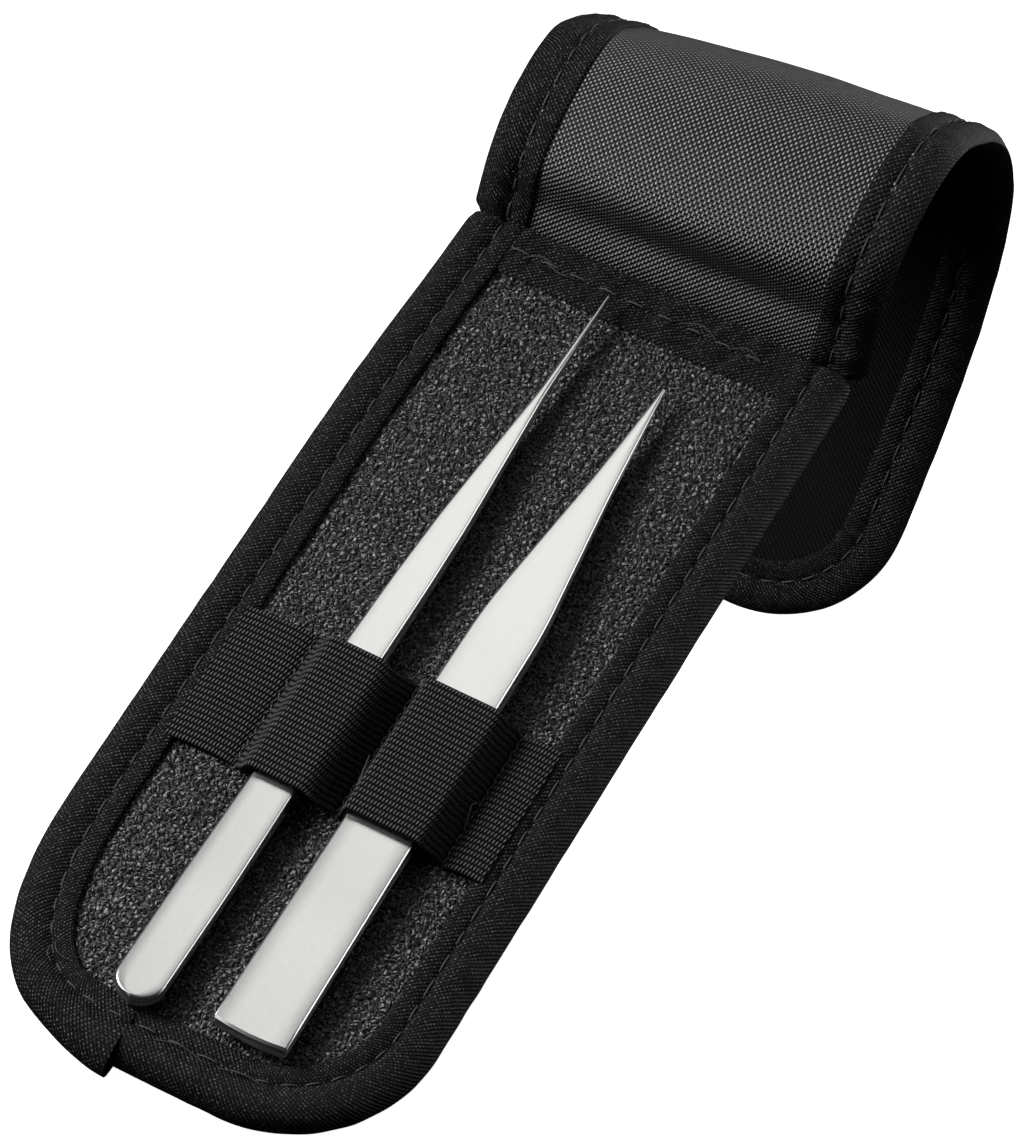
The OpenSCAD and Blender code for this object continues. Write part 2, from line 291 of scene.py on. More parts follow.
# ---------------------------------------------------------------- materials
class Shader:
    """A node material built from short calls. Positions in a weave come from the UV map, in millimetres."""

    def __init__(self, name):
        self.mat = bpy.data.materials.new(name)
        self.mat.use_nodes = True
        self.tree = self.mat.node_tree
        self.bsdf = self.tree.nodes["Principled BSDF"]

    def put(self, socket, value):
        if isinstance(value, bpy.types.NodeSocket):
            self.tree.links.new(value, socket)
        elif value is not None:
            socket.default_value = value

    def node(self, kind, inputs, output=0, **settings):
        """One output of a new node with its inputs filled in."""
        node = self.tree.nodes.new("ShaderNode" + kind)
        for key, value in settings.items():
            setattr(node, key, value)
        for key, value in inputs.items():
            self.put(node.inputs[key], value)
        return node.outputs[output]

    def math(self, op, a, b=None, clamp=False):
        return self.node("Math", {0: a, 1: b}, operation=op, use_clamp=clamp)

    def uv(self):
        """The UV map, and its two parts."""
        vector = self.node("UVMap", {}, uv_map="UVMap")
        split = self.node("SeparateXYZ", {0: vector}).node
        return vector, split.outputs[0], split.outputs[1]

    def noise(self, vector, scale, detail=2.0, rough=0.5):
        inputs = {"Vector": vector, "Scale": scale, "Detail": detail, "Roughness": rough}
        return self.node("TexNoise", inputs, "Fac")

    def cell_edges(self, vector, scale):
        inputs = {"Vector": vector, "Scale": scale}
        return self.node("TexVoronoi", inputs, "Distance", feature="DISTANCE_TO_EDGE")

    def scaled(self, vector, x, y):
        return self.node("VectorMath", {0: vector, 1: (x, y, 1)}, operation="MULTIPLY")

    def moved(self, vector, x, y):
        return self.node("VectorMath", {0: vector, 1: (x, y, 0)}, operation="ADD")

    def warp(self, vector, scale, reach):
        """vector moved about by noise"""
        noise = self.node("TexNoise", {"Vector": vector, "Scale": scale}, "Color")
        inputs = {0: noise, 1: (reach, reach, 0), 2: vector}
        return self.node("VectorMath", inputs, operation="MULTIPLY_ADD")

    def mix(self, factor, a, b):
        return self.node("Mix", {0: factor, 6: a, 7: b}, 2, data_type="RGBA")

    def span(self, value, low, high):
        """value from 0..1 to low..high"""
        return self.node("MapRange", {"Value": value, "To Min": low, "To Max": high})

    def ramp(self, value, low, high):
        """0 below low, 1 above high, smooth between"""
        inputs = {"Value": value, "From Min": low, "From Max": high}
        return self.node("MapRange", inputs, interpolation_type="SMOOTHSTEP")

    def bump(self, height, depth_mm, strength=1.0):
        return self.node("Bump", {"Height": height, "Distance": depth_mm * MM, "Strength": strength})

    def ripple(self, value):
        """|sin(pi value)|"""
        return self.math("ABSOLUTE", self.math("SINE", self.math("MULTIPLY", value, math.pi)))

    def over(self, value):
        """0.5 + 0.5 cos(pi value)"""
        wave = self.math("COSINE", self.math("MULTIPLY", value, math.pi))
        return self.math("MULTIPLY", self.math("ADD", wave, 1.0), 0.5)

    def plain_weave(self, u, v, pitch_u, pitch_v):
        """Heights of the warp and the weft of a plain weave."""
        a, b = self.math("DIVIDE", u, pitch_u), self.math("DIVIDE", v, pitch_v)
        fa, fb = self.math("FLOOR", a), self.math("FLOOR", b)
        warp = self.math("MULTIPLY", self.ripple(a), self.over(self.math("ADD", b, fa)))
        weft_turn = self.math("ADD", self.math("ADD", a, fb), 1.0)
        weft = self.math("MULTIPLY", self.ripple(b), self.over(weft_turn))
        return warp, weft

    def finish(self, color, rough, normal=None, specular=0.5, metallic=0.0):
        """The finished material. The Principled node's inputs are set here."""
        inputs = {"Base Color": color, "Roughness": rough, "Normal": normal, "Specular IOR Level": specular,
                  "Metallic": metallic}
        for key, value in inputs.items():
            self.put(self.bsdf.inputs[key], value)
        return self.mat


def grey(v, tint=(1.0, 1.0, 1.0)):
    return (v * tint[0], v * tint[1], v * tint[2], 1.0)


def cloth(name, dark, light, pitch, depth, weft_share, rough, specular, wear_and_glint, sharp=1.6, tint=(1, 1, 1)):
    """Woven cloth whose raised threads are painted lighter than the gaps, a painted sheen, with random
    painted glints.
    """
    s = Shader(name)
    vector, u, v = s.uv()
    warp, weft = s.plain_weave(u, v, pitch[0], pitch[1])
    height = s.math("MAXIMUM", warp, weft)
    # painted sheen: the raised threads of the weave are painted lighter in the base colour
    shine = s.math("MAXIMUM", warp, s.math("MULTIPLY", weft, weft_share))
    shine = s.math("POWER", shine, sharp)
    # patch is a random patchy tone; glint is random painted glints on the threads; one spread sets both
    patch = s.span(s.noise(vector, 0.5, 3.0), 1.0 - wear_and_glint, 1.0 + wear_and_glint)
    glint = s.span(s.ramp(s.noise(vector, 2.3, 2.0), 0.42, 0.68), 1.0 - wear_and_glint, 1.0 + wear_and_glint)
    lit = s.math("MULTIPLY", s.math("MULTIPLY", patch, glint), 0.7)
    color = s.mix(s.math("MULTIPLY", shine, lit, clamp=True), grey(dark), grey(light, tint))
    fuzz = s.noise(vector, 6.0, 2.0)
    normal = s.bump(s.math("ADD", height, s.math("MULTIPLY", fuzz, 0.25)), depth)
    return s.finish(color, s.span(fuzz, rough - 0.08, rough + 0.12), normal, specular)


def pebbled_cloth():
    """Soft black coating with a crinkled, slightly glossy grain; one side of each grain carries a painted
    highlight and the creases between grains are painted darker as shade.
    """
    s = Shader("pebbled_lining")
    vector, _, _ = s.uv()
    warped = s.warp(vector, 1.1, 0.9)
    grain = s.cell_edges(warped, 1.2)
    aside = s.cell_edges(s.moved(warped, 0.13, -0.09), 1.2)
    # painted highlight mask: the side of each grain that faces the light, from shifted cell edges
    lit_grain_side = s.ramp(s.math("SUBTRACT", aside, grain), 0.0, 0.12)
    dome = s.ramp(grain, 0.02, 0.30)
    fine = s.noise(vector, 2.4, 2.0, 0.6)
    height = s.math("ADD", dome, s.math("MULTIPLY", fine, 0.6))
    chance = s.ramp(s.noise(vector, 1.2, 2.0, 0.6), 0.36, 0.62)
    # painted highlight on the lit side of some grains
    painted_grain_highlight = s.math("MULTIPLY", s.math("MULTIPLY", lit_grain_side, chance), s.ramp(fine, 0.34, 0.6))
    # painted shade: the creases between the grains' domes are darker than the domes
    color = s.mix(painted_grain_highlight, s.mix(dome, grey(0.001), grey(0.012)), grey(0.38, (0.97, 1.0, 0.97)))
    return s.finish(color, s.span(fine, 0.25, 0.5), s.bump(height, 0.45), 0.4)


RIB = 1.05  # the elastic's ribs, and the floats along each


def elastic_web():
    """Ribbed elastic: rows of short slanted floats between dark grooves, the floats painted lighter as a
    painted sheen.
    """
    s = Shader("elastic_web")
    vector, u, v = s.uv()
    row = s.math("DIVIDE", v, RIB)
    step = s.math("MULTIPLY", s.math("FLOOR", row), 0.5)
    slant = s.math("MULTIPLY", s.math("FRACT", row), -0.3)
    lean = s.math("ADD", s.math("ADD", s.math("DIVIDE", u, 0.5), step), slant)
    dash = s.math("POWER", s.ripple(lean), 1.1)
    rib = s.math("POWER", s.ripple(row), 0.6)
    height = s.math("MULTIPLY", dash, rib)
    uneven = s.noise(vector, 2.0, 3.0)
    # painted sheen: the raised floats are painted lighter in the base colour
    shine = s.math("MULTIPLY", s.math("POWER", height, 2.6), s.span(uneven, 0.0, 2.0), clamp=True)
    color = s.mix(shine, grey(0.001), grey(0.165))
    return s.finish(color, 0.6, s.bump(height, 0.3), 0.08)


def satin_steel():
    """Fine satin stainless steel, with a faint lengthwise grain."""
    s = Shader("satin_steel")
    vector, _, _ = s.uv()
    grain = s.noise(s.scaled(vector, 7.0, 0.6), 1.0, 3.0)
    mottle = s.noise(vector, 5.0, 3.0, 0.7)
    color = s.mix(mottle, (0.66, 0.655, 0.64, 1), (0.88, 0.875, 0.86, 1))
    return s.finish(color, s.span(grain, 0.24, 0.34), s.bump(grain, 0.003, 0.5), metallic=1.0)


def sewing_thread():
    """Two-ply twisted polyester thread, its plies painted lighter than the twist's grooves, a painted sheen.
    """
    s = Shader("sewing_thread")
    _, u, v = s.uv()
    twist = s.ripple(s.math("ADD", s.math("DIVIDE", u, 0.32), s.math("DIVIDE", v, 0.5)))
    # painted sheen: the plies of the twist are painted lighter in the base colour
    return s.finish(s.mix(twist, grey(0.012), grey(0.085)), 0.45, s.bump(twist, 0.05))


def plain_board(name, low, high, scale, rough):
    """Hidden layers: a speckled board or closed-cell foam."""
    s = Shader(name)
    speckle = s.noise(s.node("TexCoord", {}, "Object"), scale, 4.0)
    color = s.mix(speckle, grey(low), grey(high))
    return s.finish(color, rough, s.bump(speckle, 0.1), 0.3)


MAT = {
    "tape": cloth("binding_tape", dark=0.0012, light=0.2, pitch=(0.40, 0.36), depth=0.18, weft_share=0.6,
                  rough=0.55, specular=0.15, wear_and_glint=0.9, sharp=3.0, tint=(0.96, 1.0, 0.98)),
    "lining": cloth("flap_lining", dark=0.0008, light=0.95, pitch=(0.46, 0.46), depth=0.2, weft_share=0.04,
                    rough=0.38, specular=0.5, wear_and_glint=0.2, sharp=3.0),
    "nylon": cloth("outer_nylon", dark=0.0015, light=0.03, pitch=(0.45, 0.45), depth=0.16, weft_share=0.5,
                   rough=0.5, specular=0.15, wear_and_glint=0.4),
    "pebbled": pebbled_cloth(),
    "elastic": elastic_web(),
    "steel": satin_steel(),
    "thread": sewing_thread(),
    "board": plain_board("stiffener_board", 0.05, 0.12, 900.0, 0.8),
    "foam": plain_board("closed_foam", 0.05, 0.09, 2500.0, 0.9),
}


def settle(obj, slot, *nodes):
    """Hide the CAD nodes that the piece stands for. The material slot is not used."""
    if nodes:
        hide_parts(*nodes)
    return obj


def ride(obj, body, slot, *nodes):
    """Finish a piece that moves with one body."""
    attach(obj, body)
    return settle(obj, slot, *nodes)


# ---------------------------------------------------------------- the base
def quarter(rx, ry, power, count=60):
    """Quarter of a rounded corner, from (-rx, 0) to (0, -ry)."""
    a = np.linspace(0, math.pi / 2, count)
    return -rx * np.cos(a) ** (2 / power), -ry * np.sin(a) ** (2 / power)


def rounded_path(near, far, left, right, taper=0.0, step=0.5):
    """Outline from the far end down the left side, round the near end and up the right side. left and right
    are the corners' (width, length, power). Returns points, inward normals and distance along."""
    lx, ly = quarter(*left)
    rx, ry = quarter(*right)
    x = np.concatenate([[-HALF_W], lx - HALF_W + left[0], (-rx + HALF_W - right[0])[::-1], [HALF_W]])
    y = np.concatenate([[far], ly + near + left[1], (ry + near + right[1])[::-1], [far]])
    t = arc_length(np.stack([x, y], -1))
    even = np.linspace(0, t[-1], int(t[-1] / step) + 1)
    x, y = np.interp(even, t, x), np.interp(even, t, y)
    x = x + taper * smooth(far - 42, far + 3, y) * (x < -HALF_W + 1)
    dx, dy = np.gradient(x), np.gradient(y)
    return np.stack([x, y], -1), unit(np.stack([-dy, dx], -1)), even


LEFT_CORNER, RIGHT_CORNER = (24.0, 40.0, 2.8), (22.0, 23.0, 2.0)
BASE_PATH = rounded_path(NEAR_Y, FOLD_Y, LEFT_CORNER, RIGHT_CORNER, 1.3)

# tape section on the base: (in from the edge, height), from the top's inner edge out, round and under
BASE_TOP = [(8.5, -0.45), (8.5, -0.02), (8.25, 0.16), (7.7, 0.24), (7.0, 0.22), (6.3, 0.1), (5.85, -0.08),
            (5.55, -0.2), (5.25, -0.08), (4.8, 0.12), (4.2, 0.3), (3.5, 0.4), (2.8, 0.38), (2.1, 0.2),
            (1.4, -0.12), (0.8, -0.62), (0.35, -1.2), (0.1, -1.9), (0.0, -2.7)]
BASE_UNDER = [(0.08, -3.5), (0.35, -4.2), (0.85, -4.75), (1.6, -5.1), (2.6, -5.28), (4.0, -5.3), (5.2, -5.24),
              (5.55, -5.1), (5.9, -5.24), (7.0, -5.3), (8.2, -5.28), (8.5, -5.1), (8.5, -4.8)]
BASE_INNER = [(5.0, -4.5), (1.1, -4.3), (0.9, -2.7), (1.1, -0.9), (5.0, -0.6)]
BASE_SECTION = np.array(BASE_TOP + BASE_UNDER + BASE_INNER)


def section_length(section):
    return arc_length(np.concatenate([section, section[:1]]))


def puckers(t):
    """1 at each stitch of a seam, 0 between."""
    return 0.5 + 0.5 * np.cos(2 * math.pi * t / STITCH_PITCH)


def tape_sweep(name, path, section, place, seed, corner=0.0, flare=0.0, lift=0.0, tuck=0.0):
    """Folded tape along a flat path; place(x, y, n) maps the flat layout to the pouch's frame. corner is how
    much the tape gathers along the path, flare how far it leans out, and tuck how far it is drawn in."""
    points, normals, t = path
    corner, flare, tuck = (np.broadcast_to(v, t.shape)[:, None] for v in (corner, flare, tuck))
    t2, d2 = t[:, None], section[None, :, 0]
    middle = (section[:, 1].max() + section[:, 1].min()) / 2
    out = np.sign(section[:, 1] - middle)[None, :]
    strip = smooth(5.9, 7.2, d2)
    puff = 0.16 * wobble(t2 + 0.6 * d2, 2.3, seed) + 0.10 * np.cos(2 * math.pi * (t2 / STITCH_PITCH + 0.5))
    ripples = 0.13 * wobble(t2 - 0.5 * d2, 1.7, seed + 1) + 0.08 * wobble(t2, 7.0, seed + 2)
    pleat = corner * smooth(4.0, 8.5, d2) * np.abs(wobble(t2 - 0.8 * d2, 1.5, seed + 5))
    raised = hump(d2, 3.0, 1.9) * puff + strip * ripples - 0.26 * hump(d2, STITCH_D, 0.5) * puckers(t2)
    height = section[None, :, 1] + out * (raised + 0.22 * pleat)
    ragged = 0.10 * wobble(t2, 5.5, seed + 3) * smooth(7.0, 8.4, d2)
    inward = d2 + ragged + 0.05 * wobble(t2, 3.1, seed + 4) * (d2 < 2)
    inner = 1 - d2 / 8.6
    inward = inward - flare * np.maximum(inner, 0) ** 1.3 + 0.9 * tuck * inner
    height = height + (middle - height) * 0.35 * tuck + lift * (out > 0)
    x = points[:, 0:1] + normals[:, 0:1] * inward
    y = points[:, 1:2] + normals[:, 1:2] * inward
    uv = grid(section_length(section)[None, :], t2)
    return sharpen(swept(name, place(x, y, height), uv, MAT["tape"]), 55)


def flat_place(x, y, n):
    return grid(x, y, n)


def base_corner_share(t):
    """1 in the two corners of the base, where the tape gathers."""
    x = np.interp(t, BASE_PATH[2], BASE_PATH[0][:, 0])
    y = np.interp(t, BASE_PATH[2], BASE_PATH[0][:, 1])
    return smooth(10, 17, np.abs(x)) * (1 - smooth(4, 16, y))


TAIL_X = -5.6  # where the first tape ends in a point, over the second one


def build_base_binding():
    """Two tapes: down the left side to the point near the middle, and on from there up the right side."""
    points, normals, t = BASE_PATH
    near = points[:, 1] < 0
    tail = float(np.interp(TAIL_X, points[near, 0], t[near]))
    kinds = (("first", t <= tail, 11, ("base_binding", "binding_tail")),
             ("second", t >= tail - 2.0, 31, ("base_binding",)))
    for label, keep, seed, nodes in kinds:
        run = t[keep]
        path = (points[keep], normals[keep], run)
        if label == "first":
            shape = {"flare": 2.3 * smooth(tail - 13, tail, run), "lift": 0.12,
                     "tuck": 0.3 - 0.3 * smooth(0, 1.5, run)}
        else:
            shape = {"tuck": 0.3 * smooth(run[-1] - 1.5, run[-1], run)}
        tape = tape_sweep(f"binding_{label}_tape", path, BASE_SECTION, flat_place, seed,
                          base_corner_share(run), **shape)
        ride(tape, "base", "binding_tape", *nodes)


def stitch_paths(path, inset, height, place, seed, last=1e9):
    """Thread dashes along a flat path, each diving into its needle holes."""
    points, normals, t = path
    paths = []
    rng = np.random.RandomState(seed)
    start = max(0.0, t[0]) + 0.7
    while start + STITCH_PITCH < min(last, t[-1]):
        jitter = rng.uniform(-0.25, 0.25, 3)
        s = np.linspace(start + jitter[0], start + STITCH_LEN + jitter[1], 9)
        f = np.linspace(0, 1, 9)
        x = np.interp(s, t, points[:, 0] + normals[:, 0] * inset)
        y = np.interp(s, t, points[:, 1] + normals[:, 1] * inset)
        drift = 0.18 * jitter[2] * np.sin(math.pi * f)
        x = x + drift * np.interp(s, t, normals[:, 0])
        y = y + drift * np.interp(s, t, normals[:, 1])
        n = height - 0.42 + 0.54 * np.sin(math.pi * f) ** 0.45
        paths.append(place(x[:, None], y[:, None], n[:, None])[:, 0])
        start += STITCH_PITCH
    return paths


def loose_thread(points):
    """A smooth thread through a few points."""
    p = np.array(points, float)
    k = np.linspace(0, len(p) - 1, 8 * len(p))
    i = np.clip(np.floor(k).astype(int), 0, len(p) - 2)
    f = (k - i)[:, None]
    before, after = p[np.maximum(i - 1, 0)], p[np.minimum(i + 2, len(p) - 1)]
    a, b = p[i], p[i + 1]
    return 0.5 * (2 * a + (b - before) * f + (2 * before - 5 * a + 4 * b - after) * f**2
                  + (3 * a - before - 3 * b + after) * f**3)


# frayed ends along the hem and in the near left corner: points (x, y, z)
FRAYS = [
    [(-19.5, 138.6, 0.4), (-17, 139.9, 0.9), (-14.4, 139.2, 0.5)],
    [(-16, 139.6, 0.4), (-13.5, 138.5, 0.8), (-11.2, 139.1, 0.4)],
    [(5.5, 139.8, 0.4), (8.6, 140.6, 1.0), (11.5, 139.7, 0.5)],
    [(13.5, 139.2, 0.4), (16.2, 140.3, 0.9), (18.8, 139.4, 0.4)],
    [(-20.9, 1.6, 0.3), (-20.2, 0.2, 0.9), (-18.9, -0.4, 0.8), (-17.2, -0.2, 0.4)],
    [(-21.2, 0.6, 0.4), (-20.9, -0.9, 0.9), (-19.8, -1.8, 0.5)],
    [(-2.0, -5.4, 0.2), (1.5, -4.7, 0.7), (5.5, -5.3, 0.2)],
    [(7.5, -5.0, 0.2), (11.0, -4.4, 0.6), (13.6, -4.4, 0.2)],
]


def build_base_stitches():
    top = stitch_paths(BASE_PATH, STITCH_D, -0.05, flat_place, 5)
    under = stitch_paths(BASE_PATH, STITCH_D, 0.0, lambda x, y, n: flat_place(x, y, UNDER_Z - n), 6)
    run = np.array([0.0, 22.5, 45.0])
    seam_y = (HEM_Y + FOLD_Y) / 2 + 0.2
    seam = (np.stack([run - 22.5, np.full(3, seam_y)], -1), np.array([[0.0, 1.0]] * 3), run)
    hem = stitch_paths(seam, 0.0, 0.2, flat_place, 7)
    ride(threads("base_stitches", top + under + hem, STITCH_R), "base", "thread")
    ride(threads("frayed_thread_ends", [loose_thread(f) for f in FRAYS], STITCH_R / 2), "base", "thread")


def lining_height(x, y):
    """Soft crown of the padded base, lower beside the tapes, with the grain's pebbles."""
    edge = np.minimum(HALF_W - TAPE_W - np.abs(x), np.minimum(y - (NEAR_Y + TAPE_W), HEM_Y - y))
    crown = -0.55 + 0.42 * smooth(-1.0, 9.0, edge)
    near, second = blobs(x + 0.3 * wobble(y, 1.7, 3), y + 0.3 * wobble(x, 1.9, 4), 0.95, 8)
    pebble = smooth(0.0, 0.5, second - near) - 0.5
    fine_near, _ = blobs(x, y, 0.5, 9)
    broad_wave = 0.07 * wobble(x + 0.4 * y, 6.0, 21) * wobble(y - 0.3 * x, 7.0, 22)
    return crown + 0.30 * pebble - 0.10 * fine_near + broad_wave


def inner_outline(inset, rows):
    """Left and right sides of the base's outline moved in by inset, at the given y."""
    points = BASE_PATH[0] + BASE_PATH[1] * inset
    low = int(points[:, 1].argmin())
    left, right = points[:low + 1][::-1], points[low:]
    rows = np.maximum(rows, points[low, 1])
    return np.interp(rows, left[:, 1], left[:, 0]), np.interp(rows, right[:, 1], right[:, 0])


def build_base_lining():
    cell, inset = 0.32, TAPE_W - 1.2
    low, high = NEAR_Y + inset + 0.05, FOLD_Y - 1.0
    rows = np.arange(low, high, cell)
    left, right = inner_outline(inset, rows)
    width = (right - left).max()
    x = between(left, right, int(width / cell))
    y = rows[:, None]
    lining = slab("pebbled_lining", grid(x, y, lining_height(x, y + 0 * x)), grid(x, y, -0.8), grid(x, y),
                  MAT["pebbled"])
    ride(lining, "base", "pebbled_lining", "base_lining")


def build_core():
    """The foam pad and the stiffener board, hidden between the base's cloths."""
    rows = np.linspace(NEAR_Y + 1.7, FOLD_Y - 0.6, 150)
    x = between(*inner_outline(1.6, rows), 40)
    y = rows[:, None]
    sag = 0.04 * np.abs(wobble(x + y, 6.0, 55))
    layers = (("foam_pad", -0.85, -2.78, "foam", "base_foam"),
              ("stiffener_board", -2.82, -3.8, "board", "base_stiffener"))
    for name, high, low, mat, node in layers:
        core = slab(name, grid(x, y, high - sag), grid(x, y, low), grid(x, y), MAT[mat])
        ride(core, "base", mat, node)


def build_hem():
    """Tape across the far end of the lining."""
    x = np.linspace(-HALF_W + 7.3, HALF_W - 7.3, 150)
    width = FOLD_Y + 0.4 - HEM_Y
    xx, v = x[:, None], np.linspace(0, 1, 30)[None, :]
    raised = 0.30 * smooth(0, 0.07, v) - 0.28 * hump(v, 0.48, 0.06) + 0.1 * np.sin(math.pi * v) ** 2
    lumps = 0.24 * wobble(xx + 2 * v, 2.4, 41) * np.sin(math.pi * v) + 0.15 * wobble(xx - 3 * v, 1.3, 42)
    z = -0.28 + raised + lumps - 0.12 * hump(v, 0.48, 0.07) * puckers(xx)
    y = HEM_Y + width * v + 0.18 * wobble(xx, 4.0, 43) * (1 - v)
    hem = slab("hem_tape", grid(xx, y, z), grid(xx, y, -0.62), grid(xx, y), MAT["tape"])
    ride(hem, "base", "binding_tape", "top_hem")


# ---------------------------------------------------------------- the flap
PIVOT_NAMES = ["flap_root_bend", "flap_fold"] + [f"flap_bend_{k}" for k in range(3, 9)]


def flap_curve():
    """The flap's side view: a smooth curve guided by the chain's pivots. Returns samples (y, z), distances
    along, and the distances where each stretch's middle lies."""
    pivots = [to_local(JOINTS[name]["pos_m"])[1:] for name in PIVOT_NAMES]
    end = pivots[-1] + LAST_LEN * np.array([math.cos(LAST_DIR), math.sin(LAST_DIR)])
    guide = [pivots[0] + [-0.25, -5.5]] + pivots + [end]
    middles = [(a + b) / 2 for a, b in zip(guide, guide[1:])]
    samples, marks = [guide[0]], []
    for a, p, b in zip(middles, guide[1:], middles[1:]):
        f = np.linspace(0, 1, 81)[:, None]
        marks.append(len(samples))
        samples += list((1 - f) ** 2 * a + 2 * f * (1 - f) * p + f * f * b)
    marks.append(len(samples) - 1)
    samples.append(end)
    samples = np.array(samples)
    s = arc_length(samples)
    keep = np.concatenate([[True], np.diff(s) > 1e-6])
    return samples[keep], s[keep], [s[m] for m in marks]


CURVE, CURVE_S, MIDDLES = flap_curve()
TANGENT = heading(CURVE)
FOLD_S = MIDDLES[0]
FLAP_END = CURVE_S[-1]
# where the flap's pieces begin and end along it: one piece round each pivot, and the free end
CUTS = MIDDLES[:8] + [FLAP_END - FLAP_CORNER_R - 3, FLAP_END]
FLAP_TAPES = [f"flap_tape_{k}_left" for k in range(8)] + ["flap_tape_end"]


def flap_shift(s):
    """How far the flap stands to the right of the base."""
    return 1.1 + 1.1 * smooth(60, 105, s)


def flap_offset(x, s):
    """How far the cloth stands out of the guiding curve: in its middle, by its twist, by its sides' bow,
    and by the crease near the fold."""
    u = x / HALF_W
    middle = -0.4 + 1.9 * smooth(6, 34, s) - 1.9 * smooth(40, 56, s)
    middle = middle + 2.2 * smooth(58, 100, s) - 1.3 * smooth(115, 160, s)
    twist = -0.4 + 4.7 * smooth(4, 36, s) - 1.5 * smooth(75, 110, s) - 1.8 * smooth(145, 182, s)
    bow = -1.5 * smooth(6, 30, s) + 2.0 * smooth(100, 145, s)
    crease = 2.4 * hump(s, 18.6 + 2.5 * u, 4.2) - 1.4 * hump(s, 10.4 + 2.0 * u, 3.2)
    return middle + twist * u + bow * u * u + crease * (1 - u * u) * (1 + 0.3 * u)


def flap_place(x, s, n):
    """Point of the flap at x across, s along, and n out of its middle on the lining side."""
    x, s, n = np.broadcast_arrays(x, s, n)
    n = n + flap_offset(x, s)
    y0, z0 = np.interp(s, CURVE_S, CURVE[:, 0]), np.interp(s, CURVE_S, CURVE[:, 1])
    ty, tz = np.interp(s, CURVE_S, TANGENT[:, 0]), np.interp(s, CURVE_S, TANGENT[:, 1])
    size = np.hypot(ty, tz)
    beyond = np.maximum(s - FLAP_END, 0)
    y0, z0 = y0 + beyond * ty / size, z0 + beyond * tz / size
    return np.stack([x + flap_shift(s), y0 - n * tz / size, z0 + n * ty / size], -1)


def hang(obj, k, slot, *nodes):
    """Leave a flap piece fixed where it is drawn, or let the free end ride on flap_8."""
    if k < 8:
        ends = [to_world(flap_place(0.0, s, 0.0)).tolist() for s in (CUTS[k], CUTS[k + 1])]
        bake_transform(obj)
    else:
        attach(obj, "flap_8")
    return settle(obj, slot, *nodes)


def cloth_dent(x, s):
    """Slight unevenness of the flap's cloth."""
    return 0.16 * wobble(s + 0.3 * x, 11.0, 61) * wobble(x - 0.2 * s, 9.0, 62)


def free_end_half(s, inset):
    """Half width of the flap at s, with its rounded free end."""
    radius = FLAP_CORNER_R - inset
    deep = np.clip(s - (FLAP_END - inset - radius), 0, radius)
    return HALF_W - FLAP_CORNER_R + np.sqrt(np.maximum(radius**2 - deep**2, 0.2))


def cloth_layer(rows, half, height, dent, columns=90):
    """One side of the flap's cloth, height out of its middle: points, normals and places on the cloth."""
    s = np.concatenate([[rows[0] - 0.05], rows, [rows[-1] + 0.05]])[:, None]
    x = np.concatenate([half[:1], half, half[-1:]])[:, None] * np.linspace(-1, 1, columns)[None, :]
    s = s + 0 * x
    p = flap_place(x, s, height + np.sign(height) * cloth_dent(x, s) * dent)
    return p[1:-1], grid_normals(p)[1:-1], np.stack([x, s], -1)[1:-1]


def build_flap_cloth(name, outer, inner, material, slot, node):
    """The flap's lining or its nylon, in pieces that meet at the middles of the chain's stretches."""
    inset = 5.0
    for k in range(9):
        low, high = CUTS[k], CUTS[k + 1]
        if k == 0 and outer > 0:
            low += 0.8
        if k == 8:
            high -= inset
        rows = np.linspace(low, high, max(int((high - low) / 0.9), 8) + 1)
        half = free_end_half(rows, inset) if k == 8 else np.full(len(rows), HALF_W - inset)
        top, top_n, uv = cloth_layer(rows, half, outer, 1.0)
        bottom, bottom_n, _ = cloth_layer(rows, half, inner, 0.0)
        if np.einsum("ijk,ijk->ij", top_n, top - bottom).mean() < 0:
            top_n, bottom_n = -top_n, -bottom_n
        piece = slab(f"{name}_cloth_{k}", top, bottom, uv, material, (top_n, -bottom_n))
        hang(piece, k, slot, *([f"{node}_{k}"] if k else []))


# tape section on the flap: (in from the edge, height out of the flap's middle)
FLAP_TOP = [(8.8, 0.75), (8.8, 1.25), (8.55, 1.45), (8.0, 1.52), (7.2, 1.48), (6.4, 1.36), (5.9, 1.2),
            (5.55, 1.08), (5.2, 1.2), (4.7, 1.4), (4.1, 1.58), (3.4, 1.68), (2.7, 1.64), (2.0, 1.45),
            (1.3, 1.12), (0.7, 0.72), (0.25, 0.35), (0.0, 0.0)]
FLAP_UNDER = [(d, -h) for d, h in FLAP_TOP[-2::-1]]
FLAP_INNER = [(5.0, -0.7), (1.5, -0.5), (1.3, 0.5), (5.0, 0.7)]
FLAP_SECTION = np.array(FLAP_TOP + FLAP_UNDER + FLAP_INNER)


def flap_side(rows, side):
    """The flap's left (-1) or right (1) edge at the given distances along."""
    level = np.zeros(len(rows))
    return np.stack([level + side * HALF_W, rows], -1), np.stack([level - side, level], -1), rows


def flap_end_path():
    """The flap's edge round its free end: points, inward normals, distance round."""
    corner = (FLAP_CORNER_R, FLAP_CORNER_R, 2.0)
    points, normals, t = rounded_path(-FLAP_END, -CUTS[8], corner, corner)
    return points * [1, -1], normals * [1, -1], t


